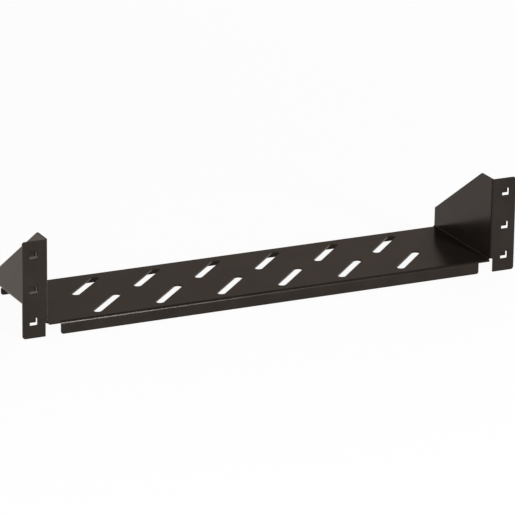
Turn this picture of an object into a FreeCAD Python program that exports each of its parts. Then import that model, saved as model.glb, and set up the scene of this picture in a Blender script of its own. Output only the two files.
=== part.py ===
import FreeCAD, Part
import math
import os
import re

import Sketcher

# Cantilever rack shelf, 19 inch, two rack units high: one steel sheet, cut flat and folded.
#
# Frame: +Z up, +X along the width, +Y towards the back of the rack, millimetres.
# The origin is under the middle of the shelf, level with the bottom edge of the ears. The
# ears' front faces, the front lip and the plate's front corners share the plane
# Y = -depth / 2, and the rear lip's back face is at Y = depth / 2.

SIZES = (
    # the rack's rail, which sets the panel's height and the hooks' places
    ("rail_pitch", 15.875, "hole to hole within one rack unit"),
    ("rail_unit_pitch", 12.7, "last hole of one rack unit to the first of the next"),
    ("panel_gap", 0.8, "what a panel leaves free of its rack units' height"),
    # the panel, and the sheet it is made of
    ("panel_width", 482.6, "across both ears, a 19 inch panel"),
    ("ear_width", 22.3, "outer edge of an ear to the side wall's outer face"),
    ("depth", 110.0, "front of the ears to the back of the rear lip"),
    ("sheet", 1.5, "thickness of the steel"),
    ("fold_radius", 1.0, "inside radius of the long folds"),
    ("ear_corner", 2.5, "radius of the ears' outer corners"),
    # the plate, its lips and the cuts that free the ends of their folds
    ("plate_level", 11.6, "top of the plate above the ears' bottom edge"),
    ("front_lip_inset", 13.7, "end of the front lip, in from the side wall's outer face"),
    ("rear_lip_height", 8.5, "rear lip, from the plate's top down"),
    ("rear_lip_inset", 1.2, "end of the rear lip, in from the side wall's outer face"),
    ("lip_corner", 2.0, "radius of the lips' lower corners"),
    ("slit_width", 0.3, "laser slit beside the end of a fold"),
    ("slit_beyond", 0.5, "how far a slit runs past its fold"),
    ("corner_relief", 4.0, "notch where plate, wall and ear meet, back from the front"),
    # the side walls
    ("wall_level_run", 22.0, "level part of a wall's top edge, from the ear's front"),
    ("wall_rear_rise", 17.7, "back end of a wall above the plate's top"),
    # the slots in the plate
    ("slot_length", 52.5, "end to end"),
    ("slot_width", 7.4, "width, and twice the radius of the ends"),
    ("slot_angle", 45.0, "degrees from the front edge"),
    ("slots_in_row", 6, "slots side by side"),
    ("slot_spacing", 59.6, "slot to slot along a row"),
    ("slot_rows", 2, "rows, front to back"),
    ("row_spacing", 49.0, "row to row"),
    # the ears' windows, each with a hook lanced out of it for a rack's square hole
    ("window_inset", 10.2, "windows' centre line, in from the ear's outer edge"),
    ("window_width", 7.3, "each window"),
    ("window_height", 6.2, "from its lower edge to the hook's root"),
    ("window_corner", 0.8, "radius of its lower corners"),
    ("hook_rest", 4.3, "rail hole's centre to the hook's root, which rests on the hole's edge"),
    ("hook_side_gap", 0.25, "sheared gap on each side of a hook"),
    ("hook_throat", 2.0, "ear's back to the hook's leg, takes the rail's steel"),
    ("hook_radius", 0.8, "inside radius of the hook's two bends"),
    ("neutral_layer", 0.4, "depth of a bend's unstretched layer, as a share of the sheet"),
)

# Places that several sketches share, worked out from the sizes.
FRONT = "(0 - depth / 2)"
BACK = "(depth / 2)"
PANEL_TOP = "(2 * (2 * rail_pitch + rail_unit_pitch) - panel_gap)"
EAR_OUT = "(panel_width / 2)"
WALL_OUT = f"({EAR_OUT} - ear_width)"
WALL_IN = f"({WALL_OUT} - sheet)"
FOLD_OUT = "(fold_radius + sheet)"
FOLD_LINE = f"({WALL_OUT} - {FOLD_OUT})"
PLATE_UNDER = "(plate_level - sheet)"
FRONT_LIP_END = f"({WALL_OUT} - front_lip_inset)"
REAR_LIP_END = f"({WALL_OUT} - rear_lip_inset)"
REAR_LIP_FOOT = "(plate_level - rear_lip_height)"
SLIT_DEPTH = f"({FOLD_OUT} + slit_beyond)"
RELIEF_BACK = f"({FRONT} + corner_relief)"
WINDOW_CENTRE = f"({EAR_OUT} - window_inset)"
HOOK_OUT = "(hook_radius + sheet)"
HOOK_LEG = f"({FRONT} + sheet + hook_throat)"
# A hook is folded from the strip that its window and its first bend leave, so the leg gets
# what the two bends and the run between them don't use.
HOOK_DROP = (
    f"(window_height + {HOOK_OUT} + 3 * hook_radius - hook_throat"
    " - pi * (hook_radius + neutral_layer * sheet))"
)
# The undersides of the hooks' roots. They rest in the second, fourth and sixth hole of a
# rail's two rack units.
FIRST_HOLE = "rail_unit_pitch / 2 - panel_gap / 2"
HOOK_ROOTS = (
    f"({FIRST_HOLE} + rail_pitch - hook_rest)",
    f"({FIRST_HOLE} + 2 * rail_pitch + rail_unit_pitch - hook_rest)",
    f"({FIRST_HOLE} + 4 * rail_pitch + rail_unit_pitch - hook_rest)",
)

# Edges are found by their place, within this.
TOUCH = 0.01

doc = FreeCAD.newDocument("rack_shelf")
sheet = doc.addObject("Spreadsheet::Sheet", "Sizes")
for row, (alias, size, meaning) in enumerate(SIZES, start=1):
    sheet.set(f"A{row}", meaning)
    sheet.set(f"B{row}", str(size))
    sheet.setAlias(f"B{row}", alias)
doc.recompute()

ALIASES = re.compile(r"\b(" + "|".join(alias for alias, _, _ in SIZES) + r")\b")


def value(expression):
    """The number that an expression of sizes stands for."""
    return float(sheet.evalExpression(expression))


def bound(expression):
    """The same expression as another object writes it, reading the sheet."""
    return ALIASES.sub(r"Sizes.\1", expression)


def origin_feature(role):
    """One of the body's own origin planes or axes."""
    return [f for f in body.Origin.OriginFeatures if f.Role == role][0]


def new_sketch(name, role, offset=None):
    """A sketch on an origin plane, moved along the plane's normal by the offset."""
    sketch = body.newObject("Sketcher::SketchObject", name)
    sketch.AttachmentSupport = [(origin_feature(role), "")]
    sketch.MapMode = "FlatFace"
    if offset:
        sketch.setExpression("AttachmentOffset.Base.z", bound(offset))
    return sketch


def dimension(sketch, kind, *references, expression):
    """A dimension that follows the sheet."""
    index = sketch.addConstraint(Sketcher.Constraint(kind, *references, value(expression)))
    sketch.setExpression(f"Constraints[{index}]", bound(expression))


def draw_line(sketch, start, end):
    """A straight line, returned as its index in the sketch."""
    return sketch.addGeometry(Part.LineSegment(start, end))


def draw_arc(sketch, centre, radius, start, sweep):
    """An anticlockwise arc from a start angle through a sweep, both in degrees."""
    circle = Part.Circle(centre, FreeCAD.Vector(0, 0, 1), radius)
    arc = Part.ArcOfCircle(circle, math.radians(start), math.radians(start + sweep))
    return sketch.addGeometry(arc)


def stepped_outline(sketch, sides):
    """A closed outline of upright and level sides in turn, with square or round corners.

    Each side is (axis, place, radius): axis "X" is an upright side at that X and axis "Y"
    a level one at that Y. The radius rounds the corner with the next side.
    """
    places = [value(place) for _, place, _ in sides]
    radii = [value(radius) if radius else 0.0 for _, _, radius in sides]
    corners = []
    for i, (axis, _, _) in enumerate(sides):
        here, after = places[i], places[(i + 1) % len(sides)]
        corners.append(FreeCAD.Vector(here, after) if axis == "X" else FreeCAD.Vector(after, here))
    headings = [(corners[i] - corners[i - 1]).normalize() for i in range(len(sides))]
    lines = []
    for i, heading in enumerate(headings):
        start = corners[i - 1] + heading * radii[i - 1]
        lines.append(draw_line(sketch, start, corners[i] - heading * radii[i]))
    for i, (axis, place, radius) in enumerate(sides):
        kind = "Vertical" if axis == "X" else "Horizontal"
        sketch.addConstraint(Sketcher.Constraint(kind, lines[i]))
        dimension(sketch, f"Distance{axis}", -1, 1, lines[i], 1, expression=place)
        after = (i + 1) % len(sides)
        if not radius:
            sketch.addConstraint(Sketcher.Constraint("Coincident", lines[i], 2, lines[after], 1))
            continue
        left_turn = headings[i].cross(headings[after]).z > 0
        centre = corners[i] + (headings[after] - headings[i]) * radii[i]
        # An arc runs anticlockwise, so on a right turn it is this side that meets its end.
        first = headings[i] if left_turn else headings[after]
        start = math.degrees(math.atan2(first.y, first.x)) + (-90 if left_turn else 90)
        corner = draw_arc(sketch, centre, radii[i], start, 90)
        here_end, after_end = (1, 2) if left_turn else (2, 1)
        sketch.addConstraint(Sketcher.Constraint("Tangent", lines[i], 2, corner, here_end))
        sketch.addConstraint(Sketcher.Constraint("Tangent", lines[after], 1, corner, after_end))
        dimension(sketch, "Radius", corner, expression=radius)


def cornered_outline(sketch, points):
    """A closed outline of straight sides through points given as (X, Y)."""
    spots = [FreeCAD.Vector(value(x), value(y)) for x, y in points]
    lines = [draw_line(sketch, spots[i - 1], spots[i]) for i in range(len(spots))]
    for i, (x, y) in enumerate(points):
        after = lines[(i + 1) % len(lines)]
        sketch.addConstraint(Sketcher.Constraint("Coincident", lines[i], 2, after, 1))
        dimension(sketch, "DistanceX", -1, 1, lines[i], 2, expression=x)
        dimension(sketch, "DistanceY", -1, 1, lines[i], 2, expression=y)


def checked(feature, adds):
    """Recomputes, and makes sure that the feature added or took away steel."""
    doc.recompute()
    earlier = [o for o in body.Group if o.isDerivedFrom("PartDesign::Feature") and o != feature]
    change = feature.Shape.Volume - (earlier[-1].Shape.Volume if earlier else 0.0)
    if change == 0 or (change > 0) != adds:
        raise RuntimeError(f"{feature.Name} changed the volume by {change:.3f}")
    return feature


def pad(name, sketch, length, side="One side"):
    """Steel on a sketch."""
    feature = body.newObject("PartDesign::Pad", name)
    feature.Profile = sketch
    feature.SideType = side
    feature.setExpression("Length", bound(length))
    return checked(feature, adds=True)


def pocket(name, sketch, length=None, side="One side", reversed_side=False):
    """A cut on a sketch, as deep as the length says or right through."""
    feature = body.newObject("PartDesign::Pocket", name)
    feature.Profile = sketch
    feature.SideType = side
    feature.Reversed = reversed_side
    if length:
        feature.setExpression("Length", bound(length))
    else:
        feature.Type = "ThroughAll"
    return checked(feature, adds=False)


def round_corners(name, radius, corners):
    """A fillet on the sheet's corners at these pairs of |X| and Z."""
    base = body.Tip
    edges = enumerate(base.Shape.Edges, start=1)
    names = [f"Edge{i}" for i, edge in edges if any(is_corner(edge, x, z) for x, z in corners)]
    feature = body.newObject("PartDesign::Fillet", name)
    feature.Base = (base, names)
    feature.setExpression("Radius", bound(radius))
    return checked(feature, adds=False)


def is_corner(edge, x, z):
    """Whether an edge runs through the sheet, along Y, at plus or minus this X and at this Z."""
    box = edge.BoundBox
    through_sheet = max(box.XLength, box.ZLength, abs(box.YLength - value("sheet"))) < TOUCH
    return through_sheet and max(abs(abs(box.XMin) - x), abs(box.ZMin - z)) < TOUCH


body = doc.addObject("PartDesign::Body", "Shelf")
body.Label = "shelf"

# The plate and both side walls, folded up along its ends.
tray_section = new_sketch("TraySection", "XZ_Plane")
stepped_outline(
    tray_section,
    (
        ("X", f"0 - {WALL_OUT}", FOLD_OUT),
        ("Y", PLATE_UNDER, FOLD_OUT),
        ("X", WALL_OUT, None),
        ("Y", PANEL_TOP, None),
        ("X", WALL_IN, "fold_radius"),
        ("Y", "plate_level", "fold_radius"),
        ("X", f"0 - {WALL_IN}", None),
        ("Y", PANEL_TOP, None),
    ),
)
pad("Tray", tray_section, "depth", side="Symmetric")

# A wall's top edge runs level behind the ear and then slopes down to the back. The strip at
# the very front goes too, because there the wall turns out into the ear.
wall_trim = new_sketch("WallTrim", "YZ_Plane")
cornered_outline(
    wall_trim,
    (
        (f"{FRONT} + wall_level_run", PANEL_TOP),
        (BACK, "plate_level + wall_rear_rise"),
        (BACK, PANEL_TOP),
    ),
)
stepped_outline(
    wall_trim,
    (
        ("X", FRONT, None),
        ("Y", "plate_level", None),
        ("X", RELIEF_BACK, None),
        ("Y", PANEL_TOP, None),
    ),
)
pocket("WallTops", wall_trim, side="Symmetric")

# The plate stops short at the front where the lip folds down, with a slit at each end of the
# fold. Outside the slits it stays flat to the front.
front_cut = new_sketch("FrontCut", "XY_Plane")
stepped_outline(
    front_cut,
    (
        ("X", f"0 - {FRONT_LIP_END} - slit_width", None),
        ("Y", FRONT, None),
        ("X", f"{FRONT_LIP_END} + slit_width", None),
        ("Y", f"{FRONT} + {SLIT_DEPTH}", None),
    ),
)
pocket("FrontSlits", front_cut, reversed_side=True)

front_section = new_sketch("FrontLipSection", "YZ_Plane")
stepped_outline(
    front_section,
    (
        ("X", f"{FRONT} + sheet", "fold_radius"),
        ("Y", PLATE_UNDER, None),
        ("X", f"{FRONT} + {SLIT_DEPTH}", None),
        ("Y", "plate_level", FOLD_OUT),
        ("X", FRONT, None),
        ("Y", "0", None),
    ),
)
pad("FrontLip", front_section, f"2 * {FRONT_LIP_END}", side="Symmetric")

# At the back the slits are where the plate's fold meets the walls' folds, and below them the
# lip runs on to the walls.
rear_cut = new_sketch("RearCut", "XY_Plane")
stepped_outline(
    rear_cut,
    (
        ("X", f"0 - {FOLD_LINE}", None),
        ("Y", f"{BACK} - {SLIT_DEPTH}", None),
        ("X", FOLD_LINE, None),
        ("Y", BACK, None),
    ),
)
pocket("RearSlits", rear_cut, reversed_side=True)

rear_section = new_sketch("RearFoldSection", "YZ_Plane")
stepped_outline(
    rear_section,
    (
        ("X", BACK, FOLD_OUT),
        ("Y", "plate_level", None),
        ("X", f"{BACK} - {SLIT_DEPTH}", None),
        ("Y", PLATE_UNDER, "fold_radius"),
        ("X", f"{BACK} - sheet", None),
        ("Y", REAR_LIP_FOOT, None),
    ),
)
pad("RearFold", rear_section, f"2 * ({FOLD_LINE} - slit_width)", side="Symmetric")

rear_outline = new_sketch("RearLipOutline", "XZ_Plane", offset=f"0 - {BACK}")
stepped_outline(
    rear_outline,
    (
        ("X", f"0 - {REAR_LIP_END}", "lip_corner"),
        ("Y", REAR_LIP_FOOT, "lip_corner"),
        ("X", REAR_LIP_END, None),
        ("Y", f"plate_level - {FOLD_OUT}", None),
    ),
)
pad("RearLip", rear_outline, "sheet")

# The right ear, turned out from the wall's front edge.
ear_section = new_sketch("EarSection", "XY_Plane")
stepped_outline(
    ear_section,
    (
        ("X", EAR_OUT, None),
        ("Y", f"{FRONT} + sheet", "fold_radius"),
        ("X", WALL_OUT, None),
        ("Y", RELIEF_BACK, None),
        ("X", WALL_IN, FOLD_OUT),
        ("Y", FRONT, None),
    ),
)
ear = pad("Ear", ear_section, PANEL_TOP)

# Where the folds of plate, wall and ear would meet, the blank is notched, so that the ear
# hangs free below the plate.
corner_notch = new_sketch("CornerNotch", "XY_Plane")
stepped_outline(
    corner_notch,
    (
        ("X", FOLD_LINE, None),
        ("Y", FRONT, None),
        ("X", f"{WALL_OUT} + fold_radius", None),
        ("Y", RELIEF_BACK, None),
    ),
)
notch = pocket("CornerRelief", corner_notch, "plate_level + fold_radius", reversed_side=True)

# Each window is open as far up as the start of its hook's first bend.
window_outlines = new_sketch("WindowOutlines", "XZ_Plane")
for root in HOOK_ROOTS:
    stepped_outline(
        window_outlines,
        (
            ("X", f"{WINDOW_CENTRE} - window_width / 2", "window_corner"),
            ("Y", f"{root} - window_height", "window_corner"),
            ("X", f"{WINDOW_CENTRE} + window_width / 2", None),
            ("Y", f"{root} + {HOOK_OUT}", None),
        ),
    )
windows = pocket("Windows", window_outlines, side="Symmetric")

# A hook runs back from its window's top, through the rail's hole, and down behind the rail.
hook_sections = new_sketch("HookSections", "YZ_Plane", offset=WINDOW_CENTRE)
for root in HOOK_ROOTS:
    stepped_outline(
        hook_sections,
        (
            ("X", FRONT, HOOK_OUT),
            ("Y", root, "hook_radius"),
            ("X", HOOK_LEG, None),
            ("Y", f"{root} - {HOOK_DROP}", None),
            ("X", f"{HOOK_LEG} + sheet", HOOK_OUT),
            ("Y", f"{root} + sheet", "hook_radius"),
            ("X", f"{FRONT} + sheet", None),
            ("Y", f"{root} + {HOOK_OUT} + sheet", None),
        ),
    )
hooks = pad("Hooks", hook_sections, "window_width - 2 * hook_side_gap", side="Symmetric")

left_ear = body.newObject("PartDesign::Mirrored", "LeftEar")
left_ear.Originals = [ear, notch, windows, hooks]
left_ear.MirrorPlane = (origin_feature("YZ_Plane"), [""])
body.Tip = left_ear
checked(left_ear, adds=True)

# The plate's slots: the left one of the front row, repeated along the row and to the back.
slot_outline = new_sketch("SlotOutline", "XY_Plane")
slot_x = "0 - slot_spacing * (slots_in_row - 1) / 2"
slot_y = "0 - row_spacing * (slot_rows - 1) / 2"
reach = "(slot_length - slot_width) / 2"
run_x, run_y = (f"{reach} * {turn}(slot_angle * 1 deg)" for turn in ("cos", "sin"))
slot_ends = []
for sign, start in (("-", value("slot_angle") + 90), ("+", value("slot_angle") - 90)):
    end_x, end_y = f"{slot_x} {sign} {run_x}", f"{slot_y} {sign} {run_y}"
    centre = FreeCAD.Vector(value(end_x), value(end_y))
    end = draw_arc(slot_outline, centre, value("slot_width / 2"), start, 180)
    dimension(slot_outline, "DistanceX", -1, 1, end, 3, expression=end_x)
    dimension(slot_outline, "DistanceY", -1, 1, end, 3, expression=end_y)
    dimension(slot_outline, "Radius", end, expression="slot_width / 2")
    slot_ends.append(end)
for end, other in (slot_ends, slot_ends[::-1]):
    start_point, end_point = slot_outline.getPoint(end, 2), slot_outline.getPoint(other, 1)
    side = draw_line(slot_outline, start_point, end_point)
    slot_outline.addConstraint(Sketcher.Constraint("Tangent", end, 2, side, 1))
    slot_outline.addConstraint(Sketcher.Constraint("Tangent", side, 2, other, 1))
slot = pocket("Slot", slot_outline, reversed_side=True)

slots = body.newObject("PartDesign::LinearPattern", "Slots")
slots.Originals = [slot]
slots.Direction = (origin_feature("X_Axis"), [""])
slots.Mode = "Spacing"
slots.setExpression("Offset", bound("slot_spacing"))
slots.setExpression("Occurrences", bound("slots_in_row"))
slots.Direction2 = (origin_feature("Y_Axis"), [""])
slots.Mode2 = "Spacing"
slots.setExpression("Offset2", bound("row_spacing"))
slots.setExpression("Occurrences2", bound("slot_rows"))
# A gap of -1 follows the pattern's own spacing.
slots.Spacings2 = [-1.0] * (int(value("slot_rows")) - 1)
body.Tip = slots
checked(slots, adds=False)

# The corners that are rounded off in the blank.
ear_ends = [(value(EAR_OUT), z) for z in (0, value(PANEL_TOP))]
round_corners("EarCorners", "ear_corner", ear_ends)
round_corners("LipCorners", "lip_corner", [(value(FRONT_LIP_END), 0)])

failed = [o.Name for o in doc.Objects if {"Invalid", "Error"} & set(o.State)]
if failed or body.Shape.isNull() or not body.Shape.isValid() or len(body.Shape.Solids) != 1:
    raise RuntimeError(f"the shelf isn't one valid solid, failed objects: {failed}")

os.makedirs("parts", exist_ok=True)
body.Shape.exportStep(f"parts/{body.Label}.step")
print(f"{body.Label}: {body.Shape.Volume / 1000:.2f} cm3, {body.Shape.BoundBox}")
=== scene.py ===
import math

import bpy
from mathutils import Matrix, Vector


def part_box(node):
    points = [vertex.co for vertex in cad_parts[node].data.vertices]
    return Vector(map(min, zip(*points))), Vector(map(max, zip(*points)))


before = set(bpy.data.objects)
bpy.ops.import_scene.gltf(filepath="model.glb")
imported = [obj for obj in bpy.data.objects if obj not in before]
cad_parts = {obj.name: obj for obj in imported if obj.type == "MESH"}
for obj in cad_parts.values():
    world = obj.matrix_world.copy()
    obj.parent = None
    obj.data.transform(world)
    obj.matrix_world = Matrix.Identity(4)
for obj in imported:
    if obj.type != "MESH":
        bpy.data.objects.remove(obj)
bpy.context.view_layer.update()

# A folded-steel rack shelf in satin black powder coat, on a pale floor in soft light. The shelf
# itself is the frame's one node. This script gives it its coat, the camera and the light.
# Lengths are in metres and lamps in watts.

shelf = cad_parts["shelf"]
floor_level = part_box("shelf")[0].z


def add_node(tree, kind, at, **settings):
    """A node at a place in the editor, with its settings."""
    node = tree.nodes.new(kind)
    node.location = at
    for name, value in settings.items():
        setattr(node, name, value)
    return node


def empty_material(name):
    """A node material with nothing in it, and its node tree."""
    material = bpy.data.materials.new(name)
    material.use_nodes = True
    material.node_tree.nodes.clear()
    return material, material.node_tree


def colour_ramp(node, first, last):
    """Sets a two-stop ramp from its (position, colour) pairs."""
    for stop, (position, colour) in zip(node.color_ramp.elements, (first, last)):
        stop.position = position
        stop.color = colour


# ---------------------------------------------------------------------------
# Powder coat
# ---------------------------------------------------------------------------

COAT_DARK = (0.0204, 0.0159, 0.0134, 1.0)
COAT_PALE = (0.0263, 0.0208, 0.0175, 1.0)
COAT_FLAKE = 0.4        # share of metal flake, whose gloss stays warm at a shallow angle
COAT_SPECULAR = 0.105
COAT_TINT = (1.0, 0.88, 0.81, 1.0)
COAT_ROUGHNESS = 0.21
GLOSS_SPREAD = 0.03     # how far the roughness wanders either way
CLOUD_SIZE = 0.035      # slow changes of tone where the coat lies thicker
CLOUD_DETAIL = 3.0
CLOUD_DARK_END = 0.35   # noise below this is all dark, and above the pale end all pale
CLOUD_PALE_END = 0.65
PEEL_SIZE = 0.0011      # the coat's dimples, from one to the next
PEEL_DETAIL = 2.0
PEEL_HEIGHT = 0.000006
PEEL_STRENGTH = 0.5


def powder_coat():
    """Satin powder coat: near-black, faintly brown, with a fine dimpled skin."""
    material, tree = empty_material("satin_black_powder_coat")
    links = tree.links
    place = add_node(tree, "ShaderNodeTexCoord", (-1200, 0))

    clouds = add_node(tree, "ShaderNodeTexNoise", (-900, 300), noise_dimensions="3D")
    clouds.inputs["Scale"].default_value = 1 / CLOUD_SIZE
    clouds.inputs["Detail"].default_value = CLOUD_DETAIL
    links.new(place.outputs["Object"], clouds.inputs["Vector"])
    tone = add_node(tree, "ShaderNodeValToRGB", (-600, 300))
    colour_ramp(tone, (CLOUD_DARK_END, COAT_DARK), (CLOUD_PALE_END, COAT_PALE))
    links.new(clouds.outputs["Fac"], tone.inputs["Fac"])
    gloss = add_node(tree, "ShaderNodeMapRange", (-600, 0))
    gloss.inputs["To Min"].default_value = COAT_ROUGHNESS - GLOSS_SPREAD
    gloss.inputs["To Max"].default_value = COAT_ROUGHNESS + GLOSS_SPREAD
    links.new(clouds.outputs["Fac"], gloss.inputs["Value"])

    peel = add_node(tree, "ShaderNodeTexNoise", (-900, -200), noise_dimensions="3D")
    peel.inputs["Scale"].default_value = 1 / PEEL_SIZE
    peel.inputs["Detail"].default_value = PEEL_DETAIL
    links.new(place.outputs["Object"], peel.inputs["Vector"])
    skin = add_node(tree, "ShaderNodeBump", (-300, -200))
    skin.inputs["Strength"].default_value = PEEL_STRENGTH
    skin.inputs["Distance"].default_value = PEEL_HEIGHT
    links.new(peel.outputs["Fac"], skin.inputs["Height"])

    shader = add_node(tree, "ShaderNodeBsdfPrincipled", (0, 0))
    shader.inputs["Metallic"].default_value = COAT_FLAKE
    shader.inputs["Specular IOR Level"].default_value = COAT_SPECULAR
    shader.inputs["Specular Tint"].default_value = COAT_TINT
    links.new(tone.outputs["Color"], shader.inputs["Base Color"])
    links.new(gloss.outputs["Result"], shader.inputs["Roughness"])
    links.new(skin.outputs["Normal"], shader.inputs["Normal"])
    out = add_node(tree, "ShaderNodeOutputMaterial", (300, 0))
    links.new(shader.outputs["BSDF"], out.inputs["Surface"])
    return material


shelf.data.materials[0] = powder_coat()

# ---------------------------------------------------------------------------
# Floor
# ---------------------------------------------------------------------------

FLOOR_SIZE = 40.0
FLOOR_WHITE = (0.9, 0.9, 0.9, 1.0)
FLOOR_GLOW = 0.95       # share of the floor's look that a shadow doesn't reach
PURE_WHITE = (1.0, 1.0, 1.0, 1.0)
GLOW_STRENGTH = 1.0


def white_floor():
    """White, with the shelf's shadow only faint on it, seen straight or in a gloss."""
    material, tree = empty_material("white_floor")
    links = tree.links
    path = add_node(tree, "ShaderNodeLightPath", (-900, 300))
    seen = add_node(tree, "ShaderNodeMath", (-700, 300), operation="MAXIMUM")
    links.new(path.outputs["Is Camera Ray"], seen.inputs[0])
    links.new(path.outputs["Is Glossy Ray"], seen.inputs[1])
    shown = add_node(tree, "ShaderNodeMath", (-500, 300), operation="MAXIMUM")
    links.new(seen.outputs["Value"], shown.inputs[0])
    links.new(path.outputs["Is Transmission Ray"], shown.inputs[1])
    share = add_node(tree, "ShaderNodeMath", (-300, 300), operation="MULTIPLY")
    share.inputs[1].default_value = FLOOR_GLOW
    links.new(shown.outputs["Value"], share.inputs[0])

    matt = add_node(tree, "ShaderNodeBsdfDiffuse", (-300, 100))
    matt.inputs["Color"].default_value = FLOOR_WHITE
    glow = add_node(tree, "ShaderNodeEmission", (-300, -50))
    glow.inputs["Color"].default_value = PURE_WHITE
    glow.inputs["Strength"].default_value = GLOW_STRENGTH
    mix = add_node(tree, "ShaderNodeMixShader", (0, 100))
    links.new(share.outputs["Value"], mix.inputs["Fac"])
    links.new(matt.outputs["BSDF"], mix.inputs[1])
    links.new(glow.outputs["Emission"], mix.inputs[2])
    out = add_node(tree, "ShaderNodeOutputMaterial", (300, 100))
    links.new(mix.outputs["Shader"], out.inputs["Surface"])
    return material


bpy.ops.object.select_all(action="DESELECT")
bpy.ops.mesh.primitive_plane_add(size=FLOOR_SIZE, location=(0.0, 0.0, floor_level))
floor = bpy.context.object
floor.name = "floor"
floor.data.materials.append(white_floor())

# ---------------------------------------------------------------------------
# Light
# ---------------------------------------------------------------------------

WALL_TONE = (0.335, 0.306, 0.284, 1.0)
CEILING_TONE = (0.13, 0.12, 0.11, 1.0)
WALL_TOP = 0.25         # how high the walls' tone reaches, and where the ceiling's starts
CEILING_FOOT = 0.75
STUDIO_STRENGTH = 1.0

PLAIN_WHITE = (1.0, 1.0, 1.0)
COOL_WHITE = (0.874, 0.951, 1.0)
LAMP_AIM = (0.0, 0.0, 0.04)
SQUARE_BOX = (0.6, 0.6)
TALL_BOX = (0.22, 1.3)  # its reflection is the bright line along the front fold

# name, place, width and height, power, colour
LAMPS = (
    ("left_softbox", (-0.9, -1.3, 0.45), SQUARE_BOX, 14.0, PLAIN_WHITE),
    ("front_softbox", (0.58, -1.9, 0.70), TALL_BOX, 44.3, COOL_WHITE),
    ("rear_softbox", (1.6, 1.35, 0.9), SQUARE_BOX, 16.0, PLAIN_WHITE),
)


def studio_walls():
    """Pale walls all round under a darker ceiling."""
    world = bpy.data.worlds.new("studio")
    world.use_nodes = True
    tree = world.node_tree
    tree.nodes.clear()
    links = tree.links
    place = add_node(tree, "ShaderNodeTexCoord", (-900, 0))
    split = add_node(tree, "ShaderNodeSeparateXYZ", (-700, 0))
    links.new(place.outputs["Object"], split.inputs["Vector"])
    tone = add_node(tree, "ShaderNodeValToRGB", (-500, 0))
    tone.color_ramp.interpolation = "EASE"
    colour_ramp(tone, (WALL_TOP, WALL_TONE), (CEILING_FOOT, CEILING_TONE))
    links.new(split.outputs["Z"], tone.inputs["Fac"])
    backdrop = add_node(tree, "ShaderNodeBackground", (-200, 0))
    backdrop.inputs["Strength"].default_value = STUDIO_STRENGTH
    links.new(tone.outputs["Color"], backdrop.inputs["Color"])
    out = add_node(tree, "ShaderNodeOutputWorld", (0, 0))
    links.new(backdrop.outputs["Background"], out.inputs["Surface"])
    return world


def soft_light(name, place, size, power, colour):
    """A softbox at a place, turned towards the shelf."""
    data = bpy.data.lights.new(name, "AREA")
    data.shape = "RECTANGLE"
    data.size, data.size_y = size
    data.energy = power
    data.color = colour
    light = bpy.data.objects.new(name, data)
    light.location = place
    light.rotation_mode = "QUATERNION"
    light.rotation_quaternion = (Vector(LAMP_AIM) - Vector(place)).to_track_quat("-Z", "Y")
    bpy.context.scene.collection.objects.link(light)


bpy.context.scene.world = studio_walls()
for lamp in LAMPS:
    soft_light(*lamp)

# ---------------------------------------------------------------------------
# Camera
# ---------------------------------------------------------------------------

SENSOR = 36.0           # sensor and lens in millimetres
LENS = 281.5
CAMERA_AIM = Vector((0.0087, 0.0, 0.0248))
CAMERA_DISTANCE = 3.622
CAMERA_AZIMUTH = math.radians(25.557)    # turned from +Y towards +X
CAMERA_ELEVATION = math.radians(18.543)
CAMERA_ROLL = math.radians(0.712)

lens = bpy.data.cameras.new("camera")
lens.sensor_width = SENSOR
lens.lens = LENS
camera = bpy.data.objects.new("camera", lens)
bpy.context.scene.collection.objects.link(camera)
turn = Matrix.Rotation(-CAMERA_AZIMUTH, 4, "Z")
turn = turn @ Matrix.Rotation(math.pi / 2 - CAMERA_ELEVATION, 4, "X")
turn = turn @ Matrix.Rotation(CAMERA_ROLL, 4, "Z")
view_line = turn.to_3x3() @ Vector((0.0, 0.0, -1.0))
camera.matrix_world = Matrix.Translation(CAMERA_AIM - view_line * CAMERA_DISTANCE) @ turn
bpy.context.scene.camera = camera
bpy.context.scene.view_settings.view_transform = "Standard"
